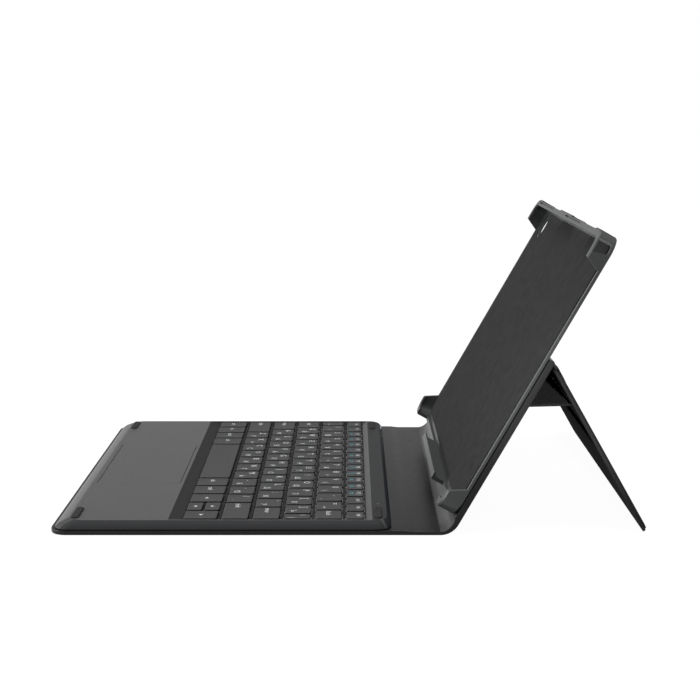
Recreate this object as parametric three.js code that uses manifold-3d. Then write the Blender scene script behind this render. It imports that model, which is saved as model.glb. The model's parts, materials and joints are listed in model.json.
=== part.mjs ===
// Tablet keyboard case: a folio with a flat front cover, a spine, a tilted tray for a
// ten-inch tablet, a stand that folds out of the back, and a thin magnetic keyboard.
//
// Millimetres. +X is the user's right, +Y points away from the user, +Z is up and the
// table is z = 0. It stands open for typing. The rear panel, the stand and its link are
// nested groups, each drawn flat in its own frame and turned about its fold line.
import * as THREE from 'three';
import { mergeVertices } from 'three/addons/utils/BufferGeometryUtils.js';
import Module from 'manifold-3d';

// ---------------------------------------------------------------- driving dimensions
const WIDTH = 248;
const GLUE = 0.05; // between laminated layers
const TILT = 60.6; // rear panel above the table, degrees
const OPENING = 59.15; // stand from the rear panel, degrees

// folio
const COVER_THICKNESS = 2.4;
const SKIN = 1.0;
const SPINE_THICKNESS = 1.8;
const FOLD_Z = 1.2;
const FOLD_FRONT_Y = 31.0;
const FOLD_REAR_Y = 52.4;
const BEAD_RADIUS = 1.1;
const BEAD_CLEARANCE = 0.3;
const COVER_CORNER = 9;

// rear panel, in its own frame: y runs up the panel and z points at the tablet
const PANEL_START = 1.4;
const PANEL_END = 106.4;
const PANEL_OUTER = -2.54;
const PANEL_SKIN = 1.25;
const FOLD_LINING_TOP = 0.46;
const TRAY_BACK = 1.09;
const TRAY_FRONT = 11.7;
const TRAY_BOTTOM = 8.6;
const TRAY_TOP = 177.0;
const TRAY_CORNER = 9;
const TRAY_FLOOR = 2.6;
const LIP_UNDERSIDE = 10.5;
const BAY_HALF_WIDTH = 121.7;
const BAY_BOTTOM = 10.8;
const BAY_TOP = 174.8;
const BAY_CORNER = 7;
const LIP = 2.0;
const LOW_WALL = 3.0;

// stand and link, in the stand's frame: y runs from the hinge towards the foot as -y
const HINGE_Y = 102.9;
const HINGE_Z = -4.2;
const HINGE_RADIUS = 0.75;
const LINK_LENGTH = 24.8;
const LINK_TIP = 1.35; // beyond the line that slides on the rear panel
const LINK_HALF_WIDTH = 109;
const LINK_HALF_THICKNESS = 0.7;
const STAND_HALF_WIDTH = 119.75;
const STAND_TOP = 1.15;
const STAND_INNER = 0.7;
const STAND_OUTER = -1.9;
const STAND_SKIN = 0.85;
const STAND_CORNER = 3;

// keyboard
const KB_BOTTOM = 2.5;
const KB_TOP = 7.0;
const KB_HALF_WIDTH = 123.3;
const KB_FRONT = -156.8;
const KB_REAR = 22.6;
const KB_CORNER = 8;
const KB_SIDE_SLOPE = 3.9;
const KB_FRONT_SLOPE = 8.4;
const KB_REAR_SLOPE = 2.4;
const DECK_TOP = 6.0;
const DECK_UNDERSIDE = 5.1;
const CAVITY_HALF_WIDTH = 119.6;
const CAVITY_FRONT = -151.2;
const CAVITY_REAR = 19.0;
const RECESS_HALF_WIDTH = 118.4;
const RECESS_FRONT = -96.0;
const RECESS_FRONT_RAMP = 5.9;
const RECESS_REAR = 12.2;
const RECESS_REAR_RAMP = 3.0;

// keys: each row is a list of widths in units of the pitch
const PITCH = 17.2;
const KEY_GAP = 2.2;
const ROW_PITCH = 16.7;
const KEY_DEPTH = 14.3;
const KEY_TOP = 6.95;
const KEY_SHOULDER = 6.35;
const KEY_BASE = 4.5;
const KEY_INSET = 0.6;
const KEY_CHAMFER = 1.3;
const KEY_CLEARANCE = 0.4;
const WEB_TOP = 4.95;
const WEB_DEPTH = 5;
const NUMBER_ROW_FRONT = -18.2;
const FUNCTION_ROW_FRONT = -1.5;
const FUNCTION_KEY_DEPTH = 9.6;
const BOTTOM_ROW_FRONT = -88.6;
const BOTTOM_KEY_DEPTH = 17.9;
const HALF_KEY_GAP = 1.3;

// touchpad, bumpers and small parts
const PAD = { left: -51, right: 45, front: -146.5, rear: -98.5, thickness: 1.1 };
const PAD_GAP = 0.3;
const BUMPER = { length: 19.6, depth: 4.2, top: 7.8, seat: 6.6 };
const BUMPER_X = 106;
const BUMPER_FRONT_Y = -146.5;
const BUMPER_REAR_Y = 15.6;

// ---------------------------------------------------------------- solids
const wasm = await Module();
wasm.setup();

/** A closed solid from rings of [x, y, z] points that run anticlockwise about its axis. */
function loft(rings) {
  const count = rings[0].length;
  const index = [];
  for (let ring = 0; ring + 1 < rings.length; ring += 1) {
    for (let k = 0; k < count; k += 1) {
      const a = ring * count + k;
      const b = ring * count + ((k + 1) % count);
      index.push(a, b, b + count, a, b + count, a + count);
    }
  }
  const top = (rings.length - 1) * count;
  for (let k = 1; k + 1 < count; k += 1) {
    index.push(0, k + 1, k, top, top + k, top + k + 1);
  }
  const geometry = new THREE.BufferGeometry();
  geometry.setAttribute('position', new THREE.Float32BufferAttribute(rings.flat(2), 3));
  geometry.setIndex(index);
  return fromGeometry(geometry);
}

function fromGeometry(geometry) {
  const welded = mergeVertices(geometry);
  return new wasm.Manifold(new wasm.Mesh({
    numProp: 3,
    vertProperties: welded.attributes.position.array,
    triVerts: new Uint32Array(welded.index.array),
  }));
}

function toGeometry(solid) {
  const mesh = solid.getMesh();
  const geometry = new THREE.BufferGeometry();
  geometry.setAttribute('position', new THREE.Float32BufferAttribute(mesh.vertProperties, 3));
  geometry.setIndex([...mesh.triVerts]);
  geometry.computeVertexNormals();
  return geometry;
}

/** A level ring: a rectangle whose corners are arcs of so many steps. */
function ring(x0, x1, y0, y1, radius, z, steps = 1) {
  const points = [];
  const corners = [[x1, y0, -90], [x1, y1, 0], [x0, y1, 90], [x0, y0, 180]];
  for (const [x, y, start] of corners) {
    const cx = x === x1 ? x1 - radius : x0 + radius;
    const cy = y === y1 ? y1 - radius : y0 + radius;
    for (let k = 0; k <= steps; k += 1) {
      const angle = THREE.MathUtils.degToRad(start + (90 * k) / steps);
      points.push([cx + radius * Math.cos(angle), cy + radius * Math.sin(angle), z]);
    }
  }
  return points;
}

function block(x0, x1, y0, y1, z0, z1) {
  const level = (z) => [[x0, y0, z], [x1, y0, z], [x1, y1, z], [x0, y1, z]];
  return loft([level(z0), level(z1)]);
}

function plate(x0, x1, y0, y1, radius, z0, z1, steps = 4) {
  return loft([ring(x0, x1, y0, y1, radius, z0, steps), ring(x0, x1, y0, y1, radius, z1, steps)]);
}

/** A [y, z] outline, anticlockwise seen from +X, drawn out along X. */
function alongX(outline, x0, x1) {
  return loft([x0, x1].map((x) => outline.map(([y, z]) => [x, y, z])));
}

function circle(y, z, radius, sides = 12) {
  return Array.from({ length: sides }, (_, k) => {
    const angle = (2 * Math.PI * (k + 0.5)) / sides;
    return [y + radius * Math.cos(angle), z + radius * Math.sin(angle)];
  });
}

function disc(x, y, radius, z0, z1, sides = 16) {
  const level = (z) => circle(x, y, radius, sides).map(([px, py]) => [px, py, z]);
  return loft([level(z0), level(z1)]);
}

const join = (solids) => solids.reduce((whole, solid) => whole.add(solid));
const cut = (solid, tools) => tools.reduce((whole, tool) => whole.subtract(tool), solid);

// ---------------------------------------------------------------- scene
const MATERIALS = {
  leather: { color: 0x3a3a3c, roughness: 0.72, metalness: 0 },
  lining: { color: 0x2c2c2e, roughness: 0.95, metalness: 0 },
  board: { color: 0x6d6558, roughness: 0.9, metalness: 0 },
  steel: { color: 0x9a9da0, roughness: 0.4, metalness: 1 },
  case: { color: 0x47494a, roughness: 0.6, metalness: 0 },
  key: { color: 0x3b3d3e, roughness: 0.55, metalness: 0 },
  tray: { color: 0x404240, roughness: 0.5, metalness: 0 },
  rubber: { color: 0x1d1d1e, roughness: 0.85, metalness: 0 },
  board_green: { color: 0x1f4a33, roughness: 0.6, metalness: 0 },
  film: { color: 0xb9b7ad, roughness: 0.5, metalness: 0 },
  foil: { color: 0xa9adb2, roughness: 0.35, metalness: 0.6 },
  lens: { color: 0xd8dcdc, roughness: 0.3, metalness: 0 },
};

const group = new THREE.Group();
group.name = 'tablet_keyboard_case';

function add(parent, name, solid, material) {
  const mesh = new THREE.Mesh(
    toGeometry(solid),
    new THREE.MeshStandardMaterial({ name: material, ...MATERIALS[material] }),
  );
  mesh.name = name;
  parent.add(mesh);
}

function frame(parent, name, y, z, degrees) {
  const node = new THREE.Group();
  node.name = name;
  node.position.set(0, y, z);
  node.rotation.x = THREE.MathUtils.degToRad(degrees);
  parent.add(node);
  return node;
}

const rear = frame(group, 'rear_panel', FOLD_REAR_Y, FOLD_Z, TILT);
const stand = frame(rear, 'stand', HINGE_Y, HINGE_Z, OPENING);
const link = frame(stand, 'link', -LINK_LENGTH, 0, -2 * OPENING);

// The stand reaches the table, and the front cover reaches as far the other way, which
// centres the whole on the origin.
const tilt = THREE.MathUtils.degToRad(TILT);
const slope = THREE.MathUtils.degToRad(180 - TILT - OPENING);
const hingeHeight = FOLD_Z + HINGE_Y * Math.sin(tilt) + HINGE_Z * Math.cos(tilt);
const hingeDepth = FOLD_REAR_Y + HINGE_Y * Math.cos(tilt) - HINGE_Z * Math.sin(tilt);
const STAND_END = (hingeHeight - STAND_INNER * Math.cos(slope)) / Math.sin(slope);
const FOOT_Y = hingeDepth + STAND_END * Math.cos(slope) - STAND_OUTER * Math.sin(slope);
const COVER_FRONT = -FOOT_Y;

// ---------------------------------------------------------------- front cover and spine
const HALF = WIDTH / 2;
const COVER_REAR = FOLD_FRONT_Y - BEAD_RADIUS - BEAD_CLEARANCE;
const DOCK = { x: 100, front: 6, rear: 14 };
const BOARD_INSET = 4;
const BOARD_TOP = 1.75;

/** The front cover's outline: round at the user's end and square at the fold. */
function coverPlate(inset, z0, z1) {
  const x = HALF - inset;
  const y0 = COVER_FRONT + inset;
  const radius = COVER_CORNER - inset;
  const y1 = COVER_REAR - inset;
  return plate(-x, x, y0, y1 + radius, radius, z0, z1)
    .subtract(block(-HALF - 1, HALF + 1, y1, y1 + radius + 1, z0 - 1, z1 + 1));
}

add(group, 'front_cover_skin', coverPlate(0, 0, SKIN), 'leather');
const dockWindow = block(-DOCK.x - 0.3, DOCK.x + 0.3, DOCK.front - 0.3, DOCK.rear + 0.3, 0, 3);
add(
  group,
  'front_cover_board',
  cut(coverPlate(BOARD_INSET, SKIN + GLUE, BOARD_TOP), [dockWindow]),
  'board',
);
add(
  group,
  'cover_magnet_bar',
  block(-DOCK.x, DOCK.x, DOCK.front, DOCK.rear, SKIN + GLUE, BOARD_TOP),
  'steel',
);
add(
  group,
  'front_cover_lining',
  cut(coverPlate(0, SKIN + GLUE, COVER_THICKNESS), [
    coverPlate(BOARD_INSET - 0.3, 0, BOARD_TOP + GLUE),
  ]),
  'lining',
);

const spineFront = FOLD_FRONT_Y + BEAD_RADIUS + GLUE;
const spineRear = FOLD_REAR_Y - BEAD_RADIUS - GLUE;
add(group, 'spine_skin', block(-HALF, HALF, spineFront, spineRear, 0, SKIN), 'leather');
add(
  group,
  'spine_lining',
  block(-HALF, HALF, spineFront, spineRear, SKIN + GLUE, SPINE_THICKNESS),
  'lining',
);
const bead = (y) => alongX(circle(y, FOLD_Z, BEAD_RADIUS), -HALF, HALF);
add(group, 'fold_strip_front', bead(FOLD_FRONT_Y), 'leather');
add(group, 'fold_strip_rear', bead(FOLD_REAR_Y), 'leather');

// ---------------------------------------------------------------- rear panel
const PANEL_BOARD_BOTTOM = PANEL_OUTER + PANEL_SKIN + GLUE;
const PANEL_BOARD_TOP = TRAY_BACK - GLUE;
const MAGNET = { x: 105, start: 50, end: 82, top: 0.2 };

add(
  rear,
  'rear_leather',
  block(-HALF, HALF, PANEL_START, PANEL_END, PANEL_OUTER, PANEL_OUTER + PANEL_SKIN),
  'leather',
);
add(
  rear,
  'rear_fold_lining',
  block(-HALF, HALF, PANEL_START, TRAY_BOTTOM - 0.5, PANEL_BOARD_BOTTOM, FOLD_LINING_TOP),
  'lining',
);
add(
  rear,
  'rear_board',
  cut(
    block(
      -HALF + 0.4,
      HALF - 0.4,
      TRAY_BOTTOM + 1.2,
      PANEL_END - 0.5,
      PANEL_BOARD_BOTTOM,
      PANEL_BOARD_TOP,
    ),
    [block(-MAGNET.x - 0.3, MAGNET.x + 0.3, MAGNET.start - 0.3, MAGNET.end + 0.3, -2, 2)],
  ),
  'board',
);
add(
  rear,
  'rear_magnet_plate',
  block(-MAGNET.x, MAGNET.x, MAGNET.start, MAGNET.end, PANEL_BOARD_BOTTOM, MAGNET.top),
  'steel',
);
add(
  rear,
  'stand_hinge_strip',
  join([
    alongX(circle(HINGE_Y, HINGE_Z, HINGE_RADIUS), -STAND_HALF_WIDTH, STAND_HALF_WIDTH),
    block(
      -STAND_HALF_WIDTH,
      STAND_HALF_WIDTH,
      HINGE_Y - 0.6,
      HINGE_Y + 0.6,
      HINGE_Z,
      PANEL_OUTER - GLUE,
    ),
  ]),
  'leather',
);

// The tray: a shallow pan with lips that hold the tablet's edge at the corners and at the
// middle of the long edges, and low walls between them.
const CAMERA = { x: -103, y: 162, radius: 7 };
const trayRing = (inset, z) => ring(
  -HALF + inset,
  HALF - inset,
  TRAY_BOTTOM + inset,
  TRAY_TOP - inset,
  TRAY_CORNER,
  z,
  6,
);
const trayBlank = loft([
  trayRing(1.2, TRAY_BACK),
  trayRing(0.35, TRAY_BACK + 0.4),
  trayRing(0, TRAY_BACK + 1.2),
  trayRing(0, TRAY_FRONT - 0.7),
  trayRing(0.6, TRAY_FRONT),
]);
const GRIP_BOTTOM = { low: 25.1, front: 19.1 };
const GRIP_TOP = { low: 157.5, front: 162.1 };
const MIDDLE_CLIP = { left: -38, right: 62 };
const CORNER_CLIP = 110;
const TOP_RELIEF = { start: 22, end: 104, depth: 0.8 };
const TOP_WINDOWS = { left: [-110, -45], right: [3, 58], bottom: 3.6, top: 9.9 };
const TOP_GROOVE = { start: 174.6, end: 175.5, depth: 1.1 };
const JACK = { low: 167.3, front: 165.2, end: 173.2, bottom: 3.0, top: LIP_UNDERSIDE + 0.1 };

/** The cut between two grips on a side wall: its ends lean, so the grips are wide at the floor. */
const sideGap = (x0, x1) => alongX(
  [
    [GRIP_BOTTOM.low, LOW_WALL],
    [GRIP_TOP.low, LOW_WALL],
    [GRIP_TOP.front, TRAY_FRONT + 1],
    [GRIP_BOTTOM.front, TRAY_FRONT + 1],
  ],
  x0,
  x1,
);
const bottomGap = (x0, x1) => block(
  x0,
  x1,
  TRAY_BOTTOM - 1,
  BAY_BOTTOM + LIP + 2,
  LOW_WALL + 1.2,
  TRAY_FRONT + 1,
);
const topRelief = (x0, x1) => block(
  x0,
  x1,
  TRAY_TOP - TOP_RELIEF.depth,
  TRAY_TOP + 1,
  TRAY_BACK - 1,
  TRAY_FRONT + 1,
);
const topWindow = ([x0, x1]) => block(
  x0,
  x1,
  BAY_TOP - 1,
  TRAY_TOP + 1,
  TOP_WINDOWS.bottom,
  TOP_WINDOWS.top,
);
const topGroove = ([x0, x1]) => block(
  x0,
  x1,
  TOP_GROOVE.start,
  TOP_GROOVE.end,
  TRAY_FRONT - TOP_GROOVE.depth,
  TRAY_FRONT + 1,
);
const jackWindow = alongX(
  [
    [JACK.low, JACK.bottom],
    [JACK.end, JACK.bottom],
    [JACK.end, JACK.top],
    [JACK.front, JACK.top],
  ],
  HALF - 6,
  HALF + 1,
);
add(
  rear,
  'tray_shell',
  cut(trayBlank, [
    plate(-BAY_HALF_WIDTH, BAY_HALF_WIDTH, BAY_BOTTOM, BAY_TOP, BAY_CORNER, TRAY_FLOOR, LIP_UNDERSIDE),
    plate(
      -BAY_HALF_WIDTH + LIP,
      BAY_HALF_WIDTH - LIP,
      BAY_BOTTOM + LIP,
      BAY_TOP - LIP,
      BAY_CORNER - LIP,
      LIP_UNDERSIDE - 1,
      TRAY_FRONT + 1,
    ),
    sideGap(-HALF - 1, -HALF + 7),
    sideGap(HALF - 7, HALF + 1),
    bottomGap(-CORNER_CLIP, MIDDLE_CLIP.left),
    bottomGap(MIDDLE_CLIP.right, CORNER_CLIP),
    topRelief(-TOP_RELIEF.end, -TOP_RELIEF.start),
    topRelief(TOP_RELIEF.start, TOP_RELIEF.end),
    topWindow(TOP_WINDOWS.left),
    topWindow(TOP_WINDOWS.right),
    topGroove(TOP_WINDOWS.left),
    topGroove(TOP_WINDOWS.right),
    jackWindow,
    disc(CAMERA.x, CAMERA.y, CAMERA.radius, TRAY_BACK - 1, TRAY_FLOOR + 1),
  ]),
  'tray',
);
add(
  rear,
  'tray_liner',
  cut(
    plate(-118.6, 118.6, BAY_BOTTOM + 3, BAY_TOP - 3, 4, TRAY_FLOOR + GLUE, TRAY_FLOOR + 0.45),
    [disc(CAMERA.x, CAMERA.y, CAMERA.radius + 1.5, TRAY_FLOOR - 1, TRAY_FLOOR + 2)],
  ),
  'lining',
);

// ---------------------------------------------------------------- stand and link
const STAND_BOARD_OUTER = STAND_OUTER + STAND_SKIN + GLUE;
const LINK_POCKET = { x: 110.2, start: LINK_LENGTH - 2.1, end: 2 * LINK_LENGTH + 2.0 };
const standPlate = (inset, z0, z1) => plate(
  -STAND_HALF_WIDTH + inset,
  STAND_HALF_WIDTH - inset,
  -STAND_END + inset,
  -STAND_TOP,
  STAND_CORNER,
  z0,
  z1,
);
add(stand, 'stand_skin', standPlate(0, STAND_OUTER, STAND_OUTER + STAND_SKIN), 'leather');
add(
  stand,
  'stand_board',
  cut(standPlate(0, STAND_BOARD_OUTER, STAND_INNER), [
    block(-LINK_POCKET.x, LINK_POCKET.x, -LINK_POCKET.end, -LINK_POCKET.start, -2, 2),
  ]),
  'lining',
);
add(
  stand,
  'link_hinge_strip',
  join([
    alongX(circle(-LINK_LENGTH, 0, 0.6), -LINK_HALF_WIDTH, LINK_HALF_WIDTH),
    block(
      -LINK_HALF_WIDTH,
      LINK_HALF_WIDTH,
      -LINK_LENGTH - 0.45,
      -LINK_LENGTH + 0.45,
      STAND_OUTER + STAND_SKIN + GLUE,
      0,
    ),
  ]),
  'leather',
);

const LINK_START = 0.95;
const LINK_END = LINK_LENGTH + LINK_TIP;
const LINK_EASE = 0.35;
const STEEL = { x: 96, start: 15.5, end: 21.5, thickness: 0.6 };
const steelPocket = (ease, top) => block(
  -STEEL.x - ease,
  STEEL.x + ease,
  -STEEL.end - ease,
  -STEEL.start + ease,
  LINK_HALF_THICKNESS - STEEL.thickness - ease,
  top,
);
add(
  link,
  'link_flap',
  cut(
    alongX(
      [
        [-LINK_START, -LINK_HALF_THICKNESS],
        [-LINK_START, LINK_HALF_THICKNESS],
        [-LINK_END + LINK_EASE, LINK_HALF_THICKNESS],
        [-LINK_END, LINK_HALF_THICKNESS - LINK_EASE],
        [-LINK_END, -LINK_HALF_THICKNESS + LINK_EASE],
        [-LINK_END + LINK_EASE, -LINK_HALF_THICKNESS],
      ],
      -LINK_HALF_WIDTH,
      LINK_HALF_WIDTH,
    ),
    [steelPocket(GLUE, LINK_HALF_THICKNESS + 1)],
  ),
  'leather',
);
add(link, 'link_steel_bar', steelPocket(0, LINK_HALF_THICKNESS), 'steel');

// ---------------------------------------------------------------- keys
const repeat = (count, width) => Array.from({ length: count }, () => width);
const ROWS = [
  {
    name: 'bottom',
    widths: [0.87, 0.95, 0.95, 1, 4.92, 1, 1, 1, 0.95, 0.96],
    single: ['key_control', 'key_function', 'key_command', 'key_alt', 'key_space', 'key_alt_right',
      'key_menu', 'key_arrow_left', 'key_arrow_down', 'key_arrow_right'],
  },
  { name: 'lower', widths: [1.74, ...repeat(10, 1), 1.86], ends: ['key_shift_left', 'key_shift_right'] },
  { name: 'home', widths: [1.27, ...repeat(11, 1), 1.33], ends: ['key_caps', 'key_enter'] },
  { name: 'upper', widths: [1, ...repeat(12, 1), 0.6], ends: ['key_tab', 'key_backslash'] },
  { name: 'number', widths: [0.6, ...repeat(12, 1), 1], ends: ['key_backquote', 'key_backspace'] },
  { name: 'function', widths: repeat(16, 0.85) },
];
const KEYS_HALF_WIDTH = (13.6 * PITCH) / 2;

/** The front edge and the depth of a row, by its place from the bottom. */
function rowPlace(place) {
  if (place === 0) {
    return { front: BOTTOM_ROW_FRONT, depth: BOTTOM_KEY_DEPTH };
  }
  if (place === ROWS.length - 1) {
    return { front: FUNCTION_ROW_FRONT, depth: FUNCTION_KEY_DEPTH };
  }
  return { front: NUMBER_ROW_FRONT - (4 - place) * ROW_PITCH, depth: KEY_DEPTH };
}

/** A row's keys as { x0, x1, y0, y1 }, from the user's left. */
function rowKeys(row, place) {
  const { front, depth } = rowPlace(place);
  let x = -KEYS_HALF_WIDTH;
  return row.widths.map((width) => {
    const key = {
      x0: x + KEY_GAP / 2,
      x1: x + width * PITCH - KEY_GAP / 2,
      y0: front,
      y1: front + depth,
    };
    x += width * PITCH;
    return key;
  });
}

function keycap({ x0, x1, y0, y1 }) {
  const level = (inset, z) => ring(
    x0 + inset,
    x1 - inset,
    y0 + inset,
    y1 - inset,
    KEY_CHAMFER,
    z,
  );
  return loft([level(0, KEY_BASE), level(0, KEY_SHOULDER), level(KEY_INSET, KEY_TOP)]);
}

const keyNodes = [];
const keyOpenings = [];
function placeKey(name, key) {
  keyNodes.push({ name, solid: keycap(key) });
  keyOpenings.push(key);
}

ROWS.forEach((row, place) => {
  const keys = rowKeys(row, place);
  if (row.single) {
    row.single.forEach((name, k) => {
      if (name !== 'key_arrow_down') {
        placeKey(name, keys[k]);
        return;
      }
      const middle = (keys[k].y0 + keys[k].y1) / 2;
      placeKey('key_arrow_down', { ...keys[k], y1: middle - HALF_KEY_GAP / 2 });
      placeKey('key_arrow_up', { ...keys[k], y0: middle + HALF_KEY_GAP / 2 });
    });
    return;
  }
  const inner = row.ends ? keys.slice(1, -1) : keys;
  if (row.ends) {
    placeKey(row.ends[0], keys[0]);
    placeKey(row.ends[1], keys[keys.length - 1]);
  }
  const middle = (inner[0].y0 + inner[0].y1) / 2;
  const web = block(
    inner[0].x0 + 3,
    inner[inner.length - 1].x1 - 3,
    middle - WEB_DEPTH / 2,
    middle + WEB_DEPTH / 2,
    KEY_BASE,
    WEB_TOP,
  );
  keyNodes.push({ name: `keys_${row.name}_row`, solid: join([web, ...inner.map(keycap)]) });
  keyOpenings.push(...inner);
});

// ---------------------------------------------------------------- keyboard
const kbRing = (side, front, back, z) => ring(
  -KB_HALF_WIDTH + side,
  KB_HALF_WIDTH - side,
  KB_FRONT + front,
  KB_REAR - back,
  KB_CORNER,
  z,
  6,
);
const caseBlank = loft([
  kbRing(0.5, 0.5, 0.5, KB_BOTTOM + 0.1),
  kbRing(0, 0, 0, KB_BOTTOM + 0.6),
  kbRing(0, 0, 0, KB_BOTTOM + 1.2),
  kbRing(KB_SIDE_SLOPE * 0.85, KB_FRONT_SLOPE * 0.85, KB_REAR_SLOPE * 0.5, KB_TOP - 0.4),
  kbRing(KB_SIDE_SLOPE, KB_FRONT_SLOPE, KB_REAR_SLOPE, KB_TOP),
]);
const recess = alongX(
  [
    [RECESS_FRONT + RECESS_FRONT_RAMP, DECK_TOP],
    [RECESS_REAR - RECESS_REAR_RAMP, DECK_TOP],
    [RECESS_REAR, KB_TOP],
    [RECESS_REAR, KB_TOP + 1],
    [RECESS_FRONT, KB_TOP + 1],
    [RECESS_FRONT, KB_TOP],
  ],
  -RECESS_HALF_WIDTH,
  RECESS_HALF_WIDTH,
);
const keyOpening = ({ x0, x1, y0, y1 }) => block(
  x0 - KEY_CLEARANCE,
  x1 + KEY_CLEARANCE,
  y0 - KEY_CLEARANCE,
  y1 + KEY_CLEARANCE,
  DECK_UNDERSIDE - 0.5,
  DECK_TOP + 2,
);
const PORT = { x: -104, width: 8.9, front: 14.6, rear: 22.0, bottom: 3.4, top: 6.2 };
const portPocket = block(
  PORT.x - PORT.width / 2 - 0.2,
  PORT.x + PORT.width / 2 + 0.2,
  PORT.front - 0.2,
  KB_REAR + 1,
  PORT.bottom - 0.1,
  PORT.top + 0.1,
);
const SWITCH = { x: -82, slot: 9, knob: 5, bottom: 3.9, top: 5.5 };
const switchSlot = block(
  SWITCH.x - SWITCH.slot / 2,
  SWITCH.x + SWITCH.slot / 2,
  CAVITY_REAR - 1,
  KB_REAR + 1,
  SWITCH.bottom - 0.2,
  SWITCH.top + 0.2,
);
const LIGHT = { x: 88, y: 16, radius: 0.9 };
const bumperRing = (x, y, inset, z) => ring(
  x - BUMPER.length / 2 + inset,
  x + BUMPER.length / 2 - inset,
  y - BUMPER.depth / 2 + inset,
  y + BUMPER.depth / 2 - inset,
  BUMPER.depth / 2 - 0.4,
  z,
  3,
);
const BUMPERS = [
  ['bumper_front_left', -BUMPER_X, BUMPER_FRONT_Y],
  ['bumper_front_right', BUMPER_X, BUMPER_FRONT_Y],
  ['bumper_rear_left', -BUMPER_X, BUMPER_REAR_Y],
  ['bumper_rear_right', BUMPER_X, BUMPER_REAR_Y],
];
add(
  group,
  'keyboard_top_case',
  cut(caseBlank, [
    plate(
      -CAVITY_HALF_WIDTH,
      CAVITY_HALF_WIDTH,
      CAVITY_FRONT,
      CAVITY_REAR,
      5,
      KB_BOTTOM - 1,
      DECK_UNDERSIDE,
    ),
    recess,
    ...keyOpenings.map(keyOpening),
    plate(
      PAD.left - PAD_GAP,
      PAD.right + PAD_GAP,
      PAD.front - PAD_GAP,
      PAD.rear + PAD_GAP,
      3,
      KB_BOTTOM,
      KB_TOP + 1,
    ),
    ...BUMPERS.map(([, x, y]) => loft([
      bumperRing(x, y, -GLUE, BUMPER.seat - GLUE),
      bumperRing(x, y, -GLUE, KB_TOP + 1),
    ])),
    portPocket,
    switchSlot,
    disc(LIGHT.x, LIGHT.y, LIGHT.radius + GLUE, DECK_UNDERSIDE - 1, KB_TOP + 1, 12),
  ]),
  'case',
);

const bottomTop = KB_BOTTOM + 0.8;
add(
  group,
  'keyboard_bottom_cover',
  cut(
    plate(
      -CAVITY_HALF_WIDTH + 0.2,
      CAVITY_HALF_WIDTH - 0.2,
      CAVITY_FRONT + 0.2,
      CAVITY_REAR - 0.2,
      4.8,
      KB_BOTTOM,
      bottomTop,
    ),
    [block(-DOCK.x - 0.1, DOCK.x + 0.1, DOCK.front - 0.1, DOCK.rear + 0.1, 0, KB_BOTTOM + 0.5)],
  ),
  'case',
);
add(
  group,
  'dock_plate',
  block(-DOCK.x, DOCK.x, DOCK.front, DOCK.rear, KB_BOTTOM, KB_BOTTOM + 0.45),
  'steel',
);
add(
  group,
  'switch_membrane',
  block(-118, 118, BOTTOM_ROW_FRONT - 1.5, 9, bottomTop + GLUE, bottomTop + 0.15),
  'film',
);
add(
  group,
  'circuit_board',
  cut(block(-114, -56, 9.6, 18.4, 3.9, 4.6), [
    block(
      PORT.x - PORT.width / 2 - 0.3,
      PORT.x + PORT.width / 2 + 0.3,
      PORT.front - 0.3,
      20,
      3,
      7,
    ),
    block(SWITCH.x - 5.2, SWITCH.x + 5.2, 16.4, 20, 3, 7),
  ]),
  'board_green',
);
add(
  group,
  'battery',
  plate(56, 112, -148, -99, 2, bottomTop + 0.1, DECK_UNDERSIDE - 0.1, 2),
  'foil',
);
const portX0 = PORT.x - PORT.width / 2;
const portX1 = PORT.x + PORT.width / 2;
add(
  group,
  'charging_port',
  block(portX0, portX1, PORT.front, PORT.rear, PORT.bottom, PORT.top)
    .subtract(block(portX0 + 0.4, portX1 - 0.4, PORT.front + 1.6, 30, PORT.bottom + 0.4, PORT.top - 0.4))
    .add(block(PORT.x - 3.3, PORT.x + 3.3, PORT.front + 1, PORT.rear - 1.2, 4.5, 5.1)),
  'steel',
);
add(
  group,
  'status_light',
  disc(LIGHT.x, LIGHT.y, LIGHT.radius, DECK_UNDERSIDE - 0.6, KB_TOP, 12),
  'lens',
);
for (const [name, x, y] of BUMPERS) {
  add(
    group,
    name,
    loft([
      bumperRing(x, y, 0, BUMPER.seat),
      bumperRing(x, y, 0, BUMPER.top - 0.4),
      bumperRing(x, y, 0.5, BUMPER.top),
    ]),
    'rubber',
  );
}
add(
  group,
  'power_switch',
  join([
    block(SWITCH.x - 1, SWITCH.x + 4, CAVITY_REAR - 0.9, 21.6, SWITCH.bottom, SWITCH.top),
    block(SWITCH.x - 0.2, SWITCH.x + 3.2, 20, 22.4, SWITCH.bottom + 0.3, SWITCH.top - 0.3),
  ]),
  'key',
);
add(
  group,
  'touchpad',
  plate(PAD.left, PAD.right, PAD.front, PAD.rear, 2.7, KB_TOP - PAD.thickness, KB_TOP),
  'case',
);
add(
  group,
  'touchpad_frame',
  join([
    plate(PAD.left, PAD.right, PAD.front, PAD.rear, 2.7, bottomTop + 0.1, bottomTop + 0.7),
    disc(-3, PAD.front + 8, 2.5, bottomTop + 0.3, KB_TOP - PAD.thickness - 0.35),
  ]),
  'steel',
);
for (const { name, solid } of keyNodes) {
  add(group, name, solid, 'key');
}

export default group;
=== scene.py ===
"""Tablet keyboard case: the looks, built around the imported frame.

Units are metres, and lengths below are written as millimetres times MM. The case stands open
on the floor at z = 0, +X is the user's right and +Y points away from the user. The rear panel
has a frame of its own, whose y runs up the panel and whose z points at the tablet.
"""
import json
import math

import bmesh
import bpy
from mathutils import Matrix, Vector
from mathutils.geometry import tessellate_polygon


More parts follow.
